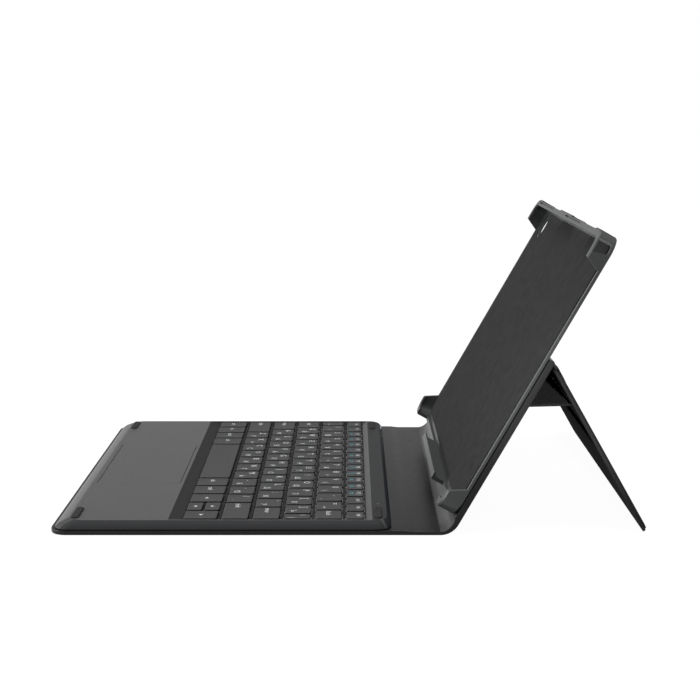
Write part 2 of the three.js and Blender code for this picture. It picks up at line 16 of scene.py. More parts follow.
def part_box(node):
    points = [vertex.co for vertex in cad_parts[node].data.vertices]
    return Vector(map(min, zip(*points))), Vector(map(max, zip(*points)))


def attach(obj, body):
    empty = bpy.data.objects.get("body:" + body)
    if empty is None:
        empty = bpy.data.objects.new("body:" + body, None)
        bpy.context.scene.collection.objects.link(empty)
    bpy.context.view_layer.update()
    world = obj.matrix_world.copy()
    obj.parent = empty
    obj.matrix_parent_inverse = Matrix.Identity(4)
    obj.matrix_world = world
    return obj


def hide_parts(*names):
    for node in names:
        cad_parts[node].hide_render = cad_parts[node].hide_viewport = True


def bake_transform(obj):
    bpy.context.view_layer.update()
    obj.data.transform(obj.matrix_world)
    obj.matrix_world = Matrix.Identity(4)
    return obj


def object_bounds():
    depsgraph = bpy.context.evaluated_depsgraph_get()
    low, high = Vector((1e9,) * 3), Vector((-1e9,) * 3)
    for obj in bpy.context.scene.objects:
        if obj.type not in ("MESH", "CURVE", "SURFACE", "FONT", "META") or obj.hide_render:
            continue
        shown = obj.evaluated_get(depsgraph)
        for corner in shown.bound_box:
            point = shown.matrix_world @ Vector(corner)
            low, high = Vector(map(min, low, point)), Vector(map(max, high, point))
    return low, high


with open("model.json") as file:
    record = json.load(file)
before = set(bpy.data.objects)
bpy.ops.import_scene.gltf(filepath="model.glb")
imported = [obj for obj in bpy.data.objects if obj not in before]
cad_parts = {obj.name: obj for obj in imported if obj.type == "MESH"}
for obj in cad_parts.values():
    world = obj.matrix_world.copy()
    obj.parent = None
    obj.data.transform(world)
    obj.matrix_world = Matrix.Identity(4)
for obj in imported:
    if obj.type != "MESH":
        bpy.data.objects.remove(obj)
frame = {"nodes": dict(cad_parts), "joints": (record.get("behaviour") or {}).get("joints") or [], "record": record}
cad_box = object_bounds()

MM = 0.001
NODES = frame["nodes"]
JOINTS = {joint["name"]: joint for joint in frame["joints"]}
SLOTS = {part["node"]: part["material_slot"] for part in frame["record"]["subparts"]}
BODY = {node: body for body, nodes in frame["record"]["behaviour"]["bodies"].items() for node in nodes}

# ------------------------------------------------------------------ frames
FOLD_FRONT = Vector(JOINTS["spine_fold"]["pos_m"])
FOLD_REAR = Vector(JOINTS["rear_fold"]["pos_m"])
STAND_PIN = Vector(JOINTS["stand_fold"]["pos_m"])
LINK_PIN = Vector(JOINTS["link_fold"]["pos_m"])
TILT = math.radians(-JOINTS["rear_fold"]["range_deg"][0])
OPENING = math.radians(-JOINTS["stand_fold"]["range_deg"][0])
REAR = Matrix.Translation(FOLD_REAR) @ Matrix.Rotation(TILT, 4, "X")
STAND = Matrix.Translation(STAND_PIN) @ Matrix.Rotation(TILT + OPENING, 4, "X")
LINK = Matrix.Translation(LINK_PIN) @ Matrix.Rotation(TILT - OPENING, 4, "X")


def local_box(node, matrix):
    """A CAD node's box in another frame."""
    back = matrix.inverted()
    points = [back @ v.co for v in NODES[node].data.vertices]
    low = Vector([min(p[k] for p in points) for k in range(3)])
    high = Vector([max(p[k] for p in points) for k in range(3)])
    return low, high


# ------------------------------------------------------------------ meshes
WELD = 0.002 * MM  # points closer than this are one point
FLAT_ANGLE = math.radians(0.6)  # CAD faces that meet flatter than this are one face
ROUND_ANGLE = math.radians(28)  # CAD edges that turn more than this are rounded
FACE_WEIGHT = 80  # how closely a normal follows the largest face beside it, out of 100
CUT_REACH = 0.7 * MM  # how far in from the side of a leather sheet its cut face reaches


def placed(name, data):
    """A new object in the scene for a mesh, a curve, a camera or a lamp."""
    obj = bpy.data.objects.new(name, data)
    bpy.context.scene.collection.objects.link(obj)
    return obj


def shaded(mesh, sharp):
    """Shades a mesh smooth, apart from edges that turn more than so many degrees."""
    mesh.shade_smooth()
    mesh.set_sharp_from_angle(angle=math.radians(sharp))


def new_object(name, verts, faces, matrix=None, sharp=35.0):
    mesh = bpy.data.meshes.new(name)
    mesh.from_pydata([tuple(v) for v in verts], [], faces)
    if matrix is not None:
        mesh.transform(matrix)
    work = bmesh.new()
    work.from_mesh(mesh)
    bmesh.ops.remove_doubles(work, verts=work.verts, dist=WELD)
    bmesh.ops.recalc_face_normals(work, faces=work.faces)
    work.to_mesh(mesh)
    work.free()
    shaded(mesh, sharp)
    return placed(name, mesh)


def bake(obj):
    """Applies every modifier on obj."""
    depsgraph = bpy.context.evaluated_depsgraph_get()
    mesh = bpy.data.meshes.new_from_object(obj.evaluated_get(depsgraph))
    obj.modifiers.clear()
    obj.data = mesh


def even(obj):
    """Bakes normals that follow the large faces, so that the flats shade flat."""
    weighted = obj.modifiers.new("normals", "WEIGHTED_NORMAL")
    weighted.keep_sharp = True
    weighted.weight = FACE_WEIGHT
    bake(obj)
    return obj


def paint(obj, material, wanted):
    """Adds a material and gives it to the faces that wanted picks."""
    obj.data.materials.append(material)
    index = len(obj.data.materials) - 1
    for polygon in obj.data.polygons:
        if wanted(polygon):
            polygon.material_index = index


def edged(obj, material, half):
    """Paints the cut side faces of a leather sheet of the given half width."""
    paint(obj, material, lambda p: abs(p.normal.x) > 0.6 and abs(p.center.x) > half - CUT_REACH)


def dress(obj, material, body, replaced=()):
    obj.data.materials.clear()
    obj.data.materials.append(material)
    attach(obj, body)
    if replaced:
        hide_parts(*replaced)
    return obj


def softened(node, width, segments=3):
    """A copy of a CAD node with its flat faces merged and its edges rounded."""
    mesh = NODES[node].data.copy()
    work = bmesh.new()
    work.from_mesh(mesh)
    bmesh.ops.remove_doubles(work, verts=work.verts, dist=WELD)
    bmesh.ops.dissolve_limit(work, angle_limit=FLAT_ANGLE, verts=work.verts, edges=work.edges)
    work.to_mesh(mesh)
    work.free()
    obj = placed(f"{node}_finished", mesh)
    bevel = obj.modifiers.new("round", "BEVEL")
    bevel.width = width
    bevel.segments = segments
    bevel.limit_method = "ANGLE"
    bevel.angle_limit = ROUND_ANGLE
    bevel.miter_outer = "MITER_ARC"
    bevel.use_clamp_overlap = True
    bake(obj)
    shaded(obj.data, 45)
    return even(obj)


def bridge(rings, closed=True, capped=True):
    """Vertices and faces of a skin over rings with equal numbers of points."""
    count = len(rings[0])
    verts = [p for ring in rings for p in ring]
    faces = []
    last = count if closed else count - 1
    for r in range(len(rings) - 1):
        for k in range(last):
            a = r * count + k
            b = r * count + (k + 1) % count
            faces.append((a, b, b + count, a + count))
    if capped:
        start = (len(rings) - 1) * count
        faces.append(tuple(reversed(range(count))))
        faces.append(tuple(range(start, start + count)))
    return verts, faces


def quarter(steps):
    """The angles of a quarter turn, in equal steps."""
    return [math.pi / 2 * k / steps for k in range(steps + 1)]


def rounded(x0, x1, y0, y1, radius, z, steps=6):
    """A level ring: a rectangle with round corners, anticlockwise from above."""
    points = []
    radius = max(radius, 0.01 * MM)
    corners = [(x1, y0, -90), (x1, y1, 0), (x0, y1, 90), (x0, y0, 180)]
    for x, y, start in corners:
        cx = x - radius if x == x1 else x + radius
        cy = y - radius if y == y1 else y + radius
        for k in range(steps + 1):
            angle = math.radians(start + 90 * k / steps)
            points.append(Vector((cx + radius * math.cos(angle), cy + radius * math.sin(angle), z)))
    return points


# A pressed line: shares of its width and of its depth.
PRESSED_LINE = [(1.0, 0.0), (0.7, 0.7), (0.5, 1.0), (0.3, 0.7), (0.0, 0.0)]
EDGE_STEPS = 3


def slab(name, x0, x1, y0, y1, radius, z0, z1, edge, matrix=None, pressed=None):
    """A plate with round corners and round edges. pressed=(inset, width, depth) adds a line
    pressed into both faces along the outline."""
    crease = []
    if pressed:
        inset, width, depth = pressed
        crease = [(inset + width * across, depth * share) for across, share in PRESSED_LINE]
    turns = quarter(EDGE_STEPS)
    profile = [(d, z0 + h) for d, h in crease]
    profile += [(edge * (1 - math.sin(t)), z0 + edge * (1 - math.cos(t))) for t in turns]
    profile += [(edge * (1 - math.cos(t)), z1 - edge * (1 - math.sin(t))) for t in turns]
    profile += [(d, z1 - h) for d, h in reversed(crease)]
    rings = [rounded(x0 + d, x1 - d, y0 + d, y1 - d, radius - d, z) for d, z in profile]
    verts, faces = bridge(rings)
    return even(new_object(name, verts, faces, matrix))


# ------------------------------------------------------------------ materials
def principled(name, color, roughness, metallic=0.0, sheen=0.0, specular=0.5):
    material = bpy.data.materials.new(name)
    material.use_nodes = True
    shader = material.node_tree.nodes["Principled BSDF"]
    shader.inputs["Base Color"].default_value = (*color, 1)
    shader.inputs["Roughness"].default_value = roughness
    shader.inputs["Metallic"].default_value = metallic
    shader.inputs["Specular IOR Level"].default_value = specular
    if sheen:
        shader.inputs["Sheen Weight"].default_value = sheen
        shader.inputs["Sheen Roughness"].default_value = 0.5
        shader.inputs["Sheen Tint"].default_value = (*[min(1, c * 4) for c in color], 1)
    return material


class Graph:
    """A material's node tree, with one call for each kind of detail."""

    def __init__(self, material):
        self.tree = material.node_tree
        self.nodes = self.tree.nodes
        self.shader = self.nodes["Principled BSDF"]
        self.place = self.nodes.new("ShaderNodeTexCoord").outputs["Object"]
        self.height = None

    def link(self, a, b):
        self.tree.links.new(a, b)

    def stretched(self, scale):
        mapping = self.nodes.new("ShaderNodeMapping")
        mapping.inputs["Scale"].default_value = scale
        self.link(self.place, mapping.inputs["Vector"])
        return mapping.outputs["Vector"]

    def noise(self, scale, detail=3.0, stretch=None, roughness=0.55):
        node = self.nodes.new("ShaderNodeTexNoise")
        node.inputs["Scale"].default_value = scale
        node.inputs["Detail"].default_value = detail
        node.inputs["Roughness"].default_value = roughness
        self.link(self.stretched(stretch) if stretch else self.place, node.inputs["Vector"])
        return node.outputs["Fac"]

    def cells(self, scale, feature="SMOOTH_F1", randomness=1.0):
        node = self.nodes.new("ShaderNodeTexVoronoi")
        node.feature = feature
        node.inputs["Scale"].default_value = scale
        node.inputs["Randomness"].default_value = randomness
        self.link(self.place, node.inputs["Vector"])
        return node.outputs["Distance"]

    def ranged(self, value, low, high, start=0.3, stop=0.7):
        node = self.nodes.new("ShaderNodeMapRange")
        node.inputs["From Min"].default_value = start
        node.inputs["From Max"].default_value = stop
        node.inputs["To Min"].default_value = low
        node.inputs["To Max"].default_value = high
        self.link(value, node.inputs["Value"])
        return node.outputs["Result"]

    def mixed(self, value, dark, light):
        node = self.nodes.new("ShaderNodeMix")
        node.data_type = "RGBA"
        self.link(value, node.inputs["Factor"])
        node.inputs["A"].default_value = (*dark, 1)
        node.inputs["B"].default_value = (*light, 1)
        return node.outputs["Result"]

    def tint(self, value, color, spread):
        """Colour that varies about a base by the spread, following a noise."""
        dark = [c * (1 - spread) for c in color]
        light = [c * (1 + spread) for c in color]
        self.link(self.mixed(self.ranged(value, 0, 1), dark, light), self.shader.inputs["Base Color"])

    def rough(self, value, low, high):
        self.link(self.ranged(value, low, high), self.shader.inputs["Roughness"])

    def bump(self, value, strength, distance):
        node = self.nodes.new("ShaderNodeBump")
        node.inputs["Strength"].default_value = strength
        node.inputs["Distance"].default_value = distance
        self.link(value, node.inputs["Height"])
        if self.height is not None:
            self.link(self.height, node.inputs["Normal"])
        self.height = node.outputs["Normal"]
        self.link(self.height, self.shader.inputs["Normal"])


def leather(name, color, roughness):
    material = principled(name, color, roughness, specular=0.22)
    graph = Graph(material)
    graph.tint(graph.noise(38, 3), color, 0.05)
    graph.rough(graph.noise(240, 3), roughness - 0.02, roughness + 0.02)
    graph.bump(graph.cells(2100), 0.07, 0.05 * MM)
    graph.bump(graph.noise(5200, 2), 0.05, 0.02 * MM)
    return material


def moulded(name, color, roughness, grain=4200, depth=0.03, spread=0.03, specular=0.5):
    """Matt plastic with the fine texture of its mould."""
    material = principled(name, color, roughness, specular=specular)
    graph = Graph(material)
    graph.tint(graph.noise(60, 5), color, spread)
    graph.rough(graph.noise(420, 4), roughness - 0.02, roughness + 0.02)
    graph.bump(graph.noise(grain, 2), 0.15, depth * MM)
    return material


def microfibre(name, color):
    material = principled(name, color, 0.95, sheen=0.01, specular=0.0)
    graph = Graph(material)
    graph.tint(graph.noise(140, 6, roughness=0.7), color, 0.16)
    graph.bump(graph.noise(2600, 4, roughness=0.75), 0.5, 0.12 * MM)
    return material


def metal(name, color, roughness):
    material = principled(name, color, roughness, metallic=1.0)
    graph = Graph(material)
    graph.tint(graph.noise(300, 3), color, 0.08)
    graph.rough(graph.noise(900, 3, stretch=(0.04, 1, 1)), roughness - 0.1, roughness + 0.1)
    graph.bump(graph.noise(1800, 2, stretch=(0.03, 1, 1)), 0.2, 0.02 * MM)
    return material


def printed(name, color, roughness):
    """Ink: a thin flat layer with a little wear."""
    material = principled(name, color, roughness)
    graph = Graph(material)
    graph.tint(graph.noise(900, 3), color, 0.12)
    graph.bump(graph.noise(5200, 1), 0.1, 0.01 * MM)
    return material


def circuit(name):
    green = (0.012, 0.075, 0.035)
    material = principled(name, green, 0.4)
    graph = Graph(material)
    traces = graph.cells(420, "DISTANCE_TO_EDGE", 0.35)
    graph.link(
        graph.mixed(graph.ranged(traces, 1, 0, 0.02, 0.05), green, (0.03, 0.16, 0.07)),
        graph.shader.inputs["Base Color"],
    )
    graph.rough(graph.noise(500, 2), 0.34, 0.5)
    return material


PAINT = {
    "leather": leather("leather_dark", (0.0065, 0.0065, 0.0067), 0.30),
    "lining": microfibre("microfibre_dark", (0.020, 0.020, 0.0205)),
    "board": moulded("grey_board", (0.15, 0.13, 0.10), 0.9, 1500, 0.08, 0.12),
    "steel": metal("plated_steel", (0.42, 0.43, 0.45), 0.38),
    "case": moulded("case_plastic", (0.038, 0.038, 0.039), 0.38, 4200, 0.02, specular=0.3),
    "key": moulded("key_plastic", (0.023, 0.023, 0.024), 0.52, 5200, 0.02, specular=0.22),
    "tray": moulded("tray_plastic", (0.027, 0.029, 0.028), 0.42, 2600, 0.025, specular=0.35),
    "rubber": moulded("rubber_dark", (0.014, 0.014, 0.0145), 0.75, 3000, 0.05, 0.15, specular=0.1),
    "circuit": circuit("circuit_green"),
    "film": moulded("printed_film", (0.48, 0.47, 0.42), 0.5, 900, 0.02),
    "foil": metal("foil_pouch", (0.45, 0.47, 0.5), 0.34),
    "lens": moulded("smoked_lens", (0.03, 0.031, 0.031), 0.4, 900, 0.01, specular=0.3),
}
# Painted shade: a near-black copy of the plastic for the deck between the keys and for the link strap's cut edges,
# where shade falls.
DEEP_SHADE = moulded("key_bed_plastic", (0.008, 0.008, 0.0085), 0.6, 3600, 0.03, specular=0.1)
# Painted shade: a darker copy of the case plastic for the ramp down into the key recess.
RAMP_SHADE = moulded("ramp_shade_plastic", (0.012, 0.012, 0.0125), 0.62, 4200, 0.03, specular=0.08)
# Painted highlight: a lighter leather for the inside of the rear bend, where the light catches it.
BEND_HIGHLIGHT = leather("leather_bend_highlight", (0.030, 0.030, 0.0305), 0.36)
STRAP = microfibre("strap_cloth", (0.040, 0.040, 0.041))
# Painted highlight: a light grey leather on the link's hinge strip, for the light line along its fold.
HINGE_HIGHLIGHT = leather("leather_hinge_highlight", (0.16, 0.16, 0.162), 0.6)
# Painted shade: a darker copy of the key plastic for the keycaps' sides.
KEY_SIDE_SHADE = moulded("key_side_shade_plastic", (0.012, 0.012, 0.0125), 0.6, 5200, 0.02, specular=0.12)
# Painted shade: a darker copy of the case plastic for the flat strip behind the keys.
REAR_STRIP_SHADE = moulded("case_strip_shade_plastic", (0.014, 0.0145, 0.015), 0.5, 4200, 0.02, specular=0.12)
# Painted shade: a darker copy of the case plastic for the case's sides.
SIDE_SHADE = moulded("case_side_shade_plastic", (0.018, 0.0184, 0.0192), 0.6, 4200, 0.03, specular=0.06)
CUT_EDGE = moulded("leather_cut_edge", (0.013, 0.013, 0.0135), 0.6, 2600, 0.02, specular=0.1)
# Painted shade: a copy of the case plastic, between the case colour and the sides' shade, for the round corners.
CORNER_SHADE = moulded("case_corner_shade_plastic", (0.030, 0.030, 0.031), 0.5, 4200, 0.03, specular=0.15)
# Painted shade: a dark bluish copy of the case plastic for the case's rear slope.
REAR_SLOPE_SHADE = moulded("case_rear_shade_plastic", (0.012, 0.0135, 0.016), 0.6, 4200, 0.03, specular=0.05)
INK_WHITE = printed("legend_white", (0.34, 0.35, 0.35), 0.7)
INK_TEAL = printed("legend_teal", (0.03, 0.26, 0.31), 0.7)

for node, obj in NODES.items():
    obj.data.materials.clear()
    obj.data.materials.append(PAINT[SLOTS[node]])
    shaded(obj.data, 30)
# Painted highlight: the hinge strip's light leather stands in for the light line along the link's fold.
NODES["link_hinge_strip"].data.materials[0] = HINGE_HIGHLIGHT

# ------------------------------------------------------------------ camera
CAMERA_PITCH = math.radians(9.80)
CAMERA_DISTANCE = 720.9 * MM  # from the case's right-hand side
CAMERA_HEIGHT = 223.8 * MM
CAMERA_ASIDE = 0.5 * MM
camera_data = bpy.data.cameras.new("camera")
camera_data.sensor_width = 36
camera_data.lens = 72.95
camera = placed("camera", camera_data)
camera.location = (cad_box[1][0] + CAMERA_DISTANCE, CAMERA_ASIDE, CAMERA_HEIGHT)
camera.rotation_euler = (math.pi / 2 - CAMERA_PITCH, 0, math.pi / 2)
bpy.context.scene.camera = camera

# ------------------------------------------------------------------ leather skin
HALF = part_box("front_cover_skin")[1].x
COVER_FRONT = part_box("front_cover_skin")[0].y
COVER_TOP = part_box("front_cover_lining")[1].z
SPINE_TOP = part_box("spine_lining")[1].z
COVER_CORNER = 9 * MM
UNDER_KEYBOARD = 12 * MM
MID_SPINE = (FOLD_FRONT.y + FOLD_REAR.y) / 2
# The side of a leather sheet, in mm in from its edge: how far the edge is worn round, as a share
# of the thickness, then how deep the pressed line lies, in mm, then where the flat has points.
RIM = [(0.0, 0.5), (0.04, 0.15), (0.15, 0.03), (0.4, 0.0)]
CREASE = [(1.9, 0.0), (2.15, 0.10), (2.4, 0.14), (2.65, 0.10), (2.9, 0.0)]
COLUMNS = [12, 40, 80]


def cross_section(outer, inner, half):
    """A closed loop across the leather: outer and inner are (y, z) points of its two faces."""
    thickness = (Vector(inner) - Vector(outer)).length
    across = (Vector(inner) - Vector(outer)) / thickness
    side = [(inset * MM, share * thickness) for inset, share in RIM]
    side += [(inset * MM, min(depth * MM, thickness * 0.2)) for inset, depth in CREASE]
    side += [(inset * MM, 0.0) for inset in COLUMNS]
    under = side + [(half, 0.0)] + [(2 * half - i, d) for i, d in reversed(side)]
    over = [(i, thickness - d) for i, d in reversed(under[1:-1])]
    loop = []
    for inset, depth in under + over:
        y, z = Vector(outer) + across * depth
        loop.append(Vector((half - inset, y, z)))
    return loop


def strip(name, stations):
    verts, faces = bridge([cross_section(*station) for station in stations])
    return even(new_object(name, verts, faces, sharp=50))


def steps_between(a, b, count):
    return [a + (b - a) * k / count for k in range(count + 1)]


def cover_ring(inset, z):
    """An open ring of the front cover, which is one plate that ends under the keyboard."""
    radius = max(COVER_CORNER - inset, 0.5 * MM)
    x = HALF - inset
    y = COVER_FRONT + inset
    middle = (UNDER_KEYBOARD + y) / 2
    ring = [Vector((x, UNDER_KEYBOARD, z)), Vector((x, middle, z))]
    for angle in quarter(8):
        across, along = radius * math.cos(angle), radius * math.sin(angle)
        ring.append(Vector((x - radius + across, y + radius - along, z)))
    for angle in quarter(8):
        across, along = radius * math.sin(angle), radius * math.cos(angle)
        ring.append(Vector((-x + radius - across, y + radius - along, z)))
    ring += [Vector((-x, middle, z)), Vector((-x, UNDER_KEYBOARD, z))]
    return ring


def cover_plate():
    lower = [(i, d) for i, d in reversed(CREASE)] + [(i, COVER_TOP / MM * s) for i, s in reversed(RIM)]
    upper = [(i, COVER_TOP / MM - d) for i, d in reversed(lower[:-1])]
    rings = [cover_ring(i * MM, z * MM) for i, z in lower + upper]
    count = len(rings[0])
    verts, faces = bridge(rings, closed=False)
    end = [r * count + count - 1 for r in range(len(rings))]
    start = [r * count for r in range(len(rings))]
    faces.append(tuple(start) + tuple(reversed(end)))
    return even(new_object("cover_leather", verts, faces, sharp=50))


cover = cover_plate()
dress(cover, PAINT["leather"], "front_cover", ("front_cover_skin", "front_cover_lining"))
edged(cover, CUT_EDGE, HALF)

# The front half of the spine, whose top rises across the first fold.
FOLD_REACH = 3.5 * MM
fold_start, fold_end = FOLD_FRONT.y - FOLD_REACH, FOLD_FRONT.y + FOLD_REACH
across_fold = steps_between(fold_start - FOLD_REACH, fold_end + FOLD_REACH, 14)
stations = []
for y in [UNDER_KEYBOARD, *across_fold, MID_SPINE]:
    share = min(max((y - fold_start) / (2 * FOLD_REACH), 0), 1)
    top = COVER_TOP + (SPINE_TOP - COVER_TOP) * share * share * (3 - 2 * share)
    stations.append(((y, 0.0), (y, top), HALF))
front_spine = strip("spine_leather_front", stations)
front_spine.data.materials.append(PAINT["leather"])
edged(front_spine, CUT_EDGE, HALF)
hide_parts("fold_strip_front")
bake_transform(front_spine)

# The rear half turns up in one soft bend and runs up the back of the tray.
BEND_RADIUS = 11 * MM
BEND_STEPS = 14
panel_low, panel_high = local_box("rear_leather", REAR)
_, lining_high = local_box("rear_fold_lining", REAR)
tray_low, _ = local_box("tray_shell", REAR)
foot_of_panel = REAR @ Vector((0, 0, panel_low.z))
corner_y = foot_of_panel.y - foot_of_panel.z / math.tan(TILT)
bend_start = corner_y - BEND_RADIUS * math.tan(TILT / 2)
PANEL_THICKNESS = lining_high.z - panel_low.z
stations = []
for y in steps_between(MID_SPINE, bend_start, 3)[:-1]:
    stations.append(((y, 0.0), (y, SPINE_TOP), HALF))
for k in range(BEND_STEPS + 1):
    turn = TILT * k / BEND_STEPS
    outer = Vector((bend_start + BEND_RADIUS * math.sin(turn), BEND_RADIUS * (1 - math.cos(turn))))
    thickness = SPINE_TOP + (PANEL_THICKNESS - SPINE_TOP) * k / BEND_STEPS
    stations.append((outer, outer + thickness * Vector((-math.sin(turn), math.cos(turn))), HALF))
bend_end = Vector((0, *stations[-1][0]))


def panel_station(y, z0, z1, half=HALF):
    low = REAR @ Vector((0, y, z0))
    high = REAR @ Vector((0, y, z1))
    return (low.y, low.z), (high.y, high.z), half


behind_tray = tray_low.z - 0.12 * MM
panel_start = (REAR.inverted() @ bend_end).y
for y in (panel_start + 1 * MM, tray_low.y - 1.2 * MM):
    stations.append(panel_station(y, panel_low.z, lining_high.z))
for y in steps_between(tray_low.y + 0.2 * MM, panel_high.y - 1.2 * MM, 8):
    stations.append(panel_station(y, panel_low.z, behind_tray))
middle = (panel_low.z + behind_tray) / 2
half_thickness = (behind_tray - panel_low.z) / 2
for short, share in ((0.6, 0.93), (0.2, 0.7), (0.0, 0.35)):
    stations.append(panel_station(
        panel_high.y - short * MM, middle - half_thickness * share, middle + half_thickness * share,
        HALF - (1 - share) * 0.8 * MM,
    ))
rear_skin = strip("panel_leather", stations)
rear_skin.data.materials.append(PAINT["leather"])
edged(rear_skin, CUT_EDGE, HALF)


def lit_bend_faces(polygon):
    """Whether a face is on the inside of the bend, between the keyboard and the tray, facing up and towards the
    user; these faces get the painted highlight.
    """
    facing = polygon.normal.z > 0.3 and polygon.normal.y < -0.12
    return facing and bend_start < polygon.center.y < bend_end.y


# Painted highlight: the inside of the bend gets the lighter leather.
paint(rear_skin, BEND_HIGHLIGHT, lit_bend_faces)
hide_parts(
    "rear_leather", "rear_fold_lining", "rear_board", "rear_magnet_plate", "fold_strip_rear",
    "spine_skin", "spine_lining",
)
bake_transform(rear_skin)

# ------------------------------------------------------------------ tray
tray = softened("tray_shell", 0.45 * MM, 3)
dress(tray, PAINT["tray"], "rear_panel", ("tray_shell",))

# ------------------------------------------------------------------ stand and link
skin_low, skin_high = local_box("stand_skin", STAND)
stand_leather = slab(
    "stand_leather", skin_low.x, skin_high.x, skin_low.y, skin_high.y, 6 * MM,
    skin_low.z, skin_high.z + 0.02 * MM, 0.38 * MM, STAND, pressed=(1.9 * MM, 1.0 * MM, 0.12 * MM),
)
dress(stand_leather, PAINT["leather"], "stand", ("stand_skin",))
inward = STAND.to_3x3() @ Vector((0, 0, 1))
paint(stand_leather, PAINT["lining"], lambda p: p.normal.dot(inward) > 0.9)
dress(softened("stand_board", 0.3 * MM, 2), PAINT["lining"], "stand", ("stand_board",))
low, high = local_box("link_flap", LINK)
link = slab("link_strap", low.x, high.x, low.y, high.y, 0.6 * MM, low.z, high.z, 0.3 * MM, LINK)
dress(link, STRAP, "link", ("link_flap", "link_steel_bar"))
# Painted shade: the strap's cut edges get the near-black plastic of the key bed.
edged(link, DEEP_SHADE, high.x)

# The shoulder: leather that leaves the back of the panel and turns down onto the stand.
def by_panel(y, z):
    point = REAR @ Vector((0, y, z))
    return point.y, point.z


def by_stand(y, z):
    point = STAND @ Vector((0, y * MM, z * MM))
    return point.y, point.z


def by_pin(y, z):
    return STAND_PIN.y + y * MM, STAND_PIN.z + z * MM


pin_height = (REAR.inverted() @ STAND_PIN).y
outside = skin_low.z / MM
# Outer and inner point of each station. The four in the middle are set out from the pin.
shoulder_line = [
    (by_panel(pin_height + 3.1 * MM, panel_low.z), by_panel(pin_height + 2.7 * MM, panel_low.z + 0.2 * MM)),
    (by_pin(0.3, 2.35), by_pin(-0.3, 1.2)),
    (by_pin(1.25, 1.5), by_pin(0.1, 0.4)),
    (by_pin(2.3, 0.45), by_pin(0.84, -0.67)),
    (by_pin(2.95, -0.75), by_pin(2.22, -0.02)),
    (by_pin(3.7, -2.2), by_stand(-3.2, outside + 0.02)),
    (by_stand(-6.5, outside - 0.25), by_stand(-6.5, outside + 0.02)),
    (by_stand(-9.5, outside - 0.03), by_stand(-9.5, outside + 0.05)),
]
shoulder = strip("shoulder_leather", [(outer, inner, skin_high.x) for outer, inner in shoulder_line])
shoulder.data.materials.append(PAINT["leather"])
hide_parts("stand_hinge_strip")
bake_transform(shoulder)

# ------------------------------------------------------------------ keyboard body
KEY_GAP = 2.2 * MM
ROW_COUNTS = {
    "keys_number_row": 12, "keys_upper_row": 12, "keys_home_row": 11, "keys_lower_row": 10,
    "keys_function_row": 16,
}


def row_boxes(node):
    """The boxes of the equal keycaps that are joined in one CAD node."""
    low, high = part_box(node)
    count = ROW_COUNTS[node]
    pitch = (high.x - low.x + KEY_GAP) / count
    return [
        (
            Vector((low.x + k * pitch, low.y, low.z)),
            Vector((low.x + (k + 1) * pitch - KEY_GAP, high.y, high.z)),
        )
        for k in range(count)
    ]


key_boxes = {}
for node in sorted(NODES):
    if node in ROW_COUNTS:
        key_boxes[node] = row_boxes(node)
    elif node.startswith("key_"):
        key_boxes[node] = [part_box(node)]


class Skin:
    """Collects the faces of one mesh."""

    def __init__(self):
        self.verts = []
        self.faces = []

    def take(self, verts, faces):
        start = len(self.verts)
        self.verts += verts
        self.faces += [tuple(i + start for i in face) for face in faces]

    def wall(self, rings):
        self.take(*bridge(rings, capped=False))

    def face(self, outline, holes=()):
        loops = [outline] + list(holes)
        self.take([p for loop in loops for p in loop], [tuple(t) for t in tessellate_polygon(loops)])

    def hole(self, box, clear, radius, top, bottom, edge, steps=4):
        """The walls of a round-cornered hole, clear of a box, with a round upper edge; returns
        its upper ring."""
        low, high = box
        sides = (low.x - clear, high.x + clear, low.y - clear, high.y + clear)
        rings = [rounded(*sides, radius, bottom, steps)]
        x0, x1, y0, y1 = sides
        for angle in quarter(3):
            out = edge * (1 - math.cos(angle))
            z = top - edge * (1 - math.sin(angle))
            rings.append(rounded(x0 - out, x1 + out, y0 - out, y1 + out, radius + out, z, steps))
        self.wall(rings)
        return rings[-1]


case_low, case_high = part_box("keyboard_top_case")
CASE = {
    "side": 3.9 * MM, "front": 7.6 * MM, "rear": 2.4 * MM, "corner": 8 * MM, "deck": 6.0 * MM,
    "recess_x": 118.4 * MM, "recess_front": -96.0 * MM, "ramp": 5.9 * MM,
    "recess_rear": 12.2 * MM, "rear_ramp": 3.0 * MM, "deck_under": 5.1 * MM,
}
DECK = CASE["deck"]


def case_ring(share, z):
    """The case's outline, brought in by a share of its slopes."""
    side, front, rear = (CASE[k] * share for k in ("side", "front", "rear"))
    return rounded(
        case_low.x + side, case_high.x - side, case_low.y + front, case_high.y - rear,
        CASE["corner"], z, 8,
    )


# The case's side: shares of its slopes and heights in mm, up to the deck round the keys.
WALL_PROFILE = [
    (0.08, 0.0), (0.03, 0.06), (0.0, 0.22), (0.0, 0.42), (0.02, 0.62), (0.13, 1.30), (0.30, 2.22),
    (0.52, 2.93), (0.72, 3.55), (0.82, 3.83), (0.88, 3.97), (0.94, 4.06), (1.0, 4.10),
]
KEY_CLEARANCE = 0.4 * MM
DECK_SPAN = 3  # the step of the recess's section that is the flat deck with the key holes


